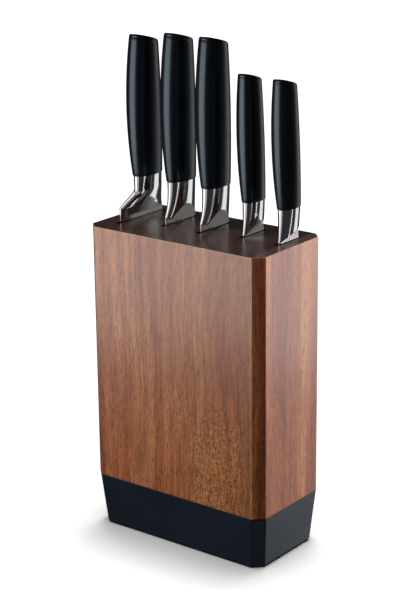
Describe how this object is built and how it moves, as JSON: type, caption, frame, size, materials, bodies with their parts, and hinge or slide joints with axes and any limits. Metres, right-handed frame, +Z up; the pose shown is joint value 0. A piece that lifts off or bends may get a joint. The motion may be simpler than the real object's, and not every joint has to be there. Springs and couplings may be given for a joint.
{
  "type": "knife block with knives",
  "caption": "Upright lacquered wooden knife block on a tapered dark plinth, holding knives with black grips and polished steel bolsters in front-to-back slots.",
  "frame": {"origin": "centre of the block's footprint, on the table under the rubber feet", "axes": "+X to the viewer's right along the wide front face, -Y out of the front face (the blades' edges face -Y), +Z up"},
  "size_m": [0.139, 0.0694, 0.335],
  "materials": {
    "lacquered_wood": "vertical-grain reddish brown wood, semi-gloss lacquer, darker end grain on the top face",
    "base_plastic": "satin blue-black moulded plastic",
    "screw_steel": "zinc-plated steel",
    "foot_rubber": "matt black rubber",
    "blade_steel": "fine ground stainless steel",
    "polished_steel": "mirror-polished stainless steel",
    "handle_plastic": "satin black moulded plastic",
    "cap_plastic": "satin black moulded plastic, slightly smoother than the grip"
  },
  "bodies": {
    "block": {"left_side_board": "lacquered_wood", "right_side_board": "lacquered_wood", "front_board": "lacquered_wood", "rear_board": "lacquered_wood", "core_board_1": "lacquered_wood", "core_board_2": "lacquered_wood", "core_board_3": "lacquered_wood", "core_board_4": "lacquered_wood", "carving_front_strip": "lacquered_wood", "bread_front_strip": "lacquered_wood", "utility_front_strip": "lacquered_wood", "paring_front_strip": "lacquered_wood", "utility_rear_strip": "lacquered_wood", "paring_rear_strip": "lacquered_wood", "base_tray": "base_plastic", "base_screws": "screw_steel", "foot_front_left": "foot_rubber", "foot_front_right": "foot_rubber", "foot_rear_left": "foot_rubber", "foot_rear_right": "foot_rubber"},
    "chef_knife": {"chef_blade": "blade_steel", "chef_bolster": "polished_steel", "chef_handle": "handle_plastic", "chef_butt_cap": "cap_plastic"},
    "carving_knife": {"carving_blade": "blade_steel", "carving_bolster": "polished_steel", "carving_handle": "handle_plastic", "carving_butt_cap": "cap_plastic"},
    "bread_knife": {"bread_blade": "blade_steel", "bread_bolster": "polished_steel", "bread_handle": "handle_plastic", "bread_butt_cap": "cap_plastic"},
    "utility_knife": {"utility_blade": "blade_steel", "utility_bolster": "polished_steel", "utility_handle": "handle_plastic", "utility_butt_cap": "cap_plastic"},
    "paring_knife": {"paring_blade": "blade_steel", "paring_bolster": "polished_steel", "paring_handle": "handle_plastic", "paring_butt_cap": "cap_plastic"}
  },
  "joints": [
    {"name": "chef_lift", "type": "slide", "parent": "block", "child": "chef_knife", "axis": [0, 0, 1], "range_m": [0, 0.205]},
    {"name": "carving_lift", "type": "slide", "parent": "block", "child": "carving_knife", "axis": [0, 0, 1], "range_m": [0, 0.205]},
    {"name": "bread_lift", "type": "slide", "parent": "block", "child": "bread_knife", "axis": [0, 0, 1], "range_m": [0, 0.205]},
    {"name": "utility_lift", "type": "slide", "parent": "block", "child": "utility_knife", "axis": [0, 0, 1], "range_m": [0, 0.135]},
    {"name": "paring_lift", "type": "slide", "parent": "block", "child": "paring_knife", "axis": [0, 0, 1], "range_m": [0, 0.1]}
  ]
}
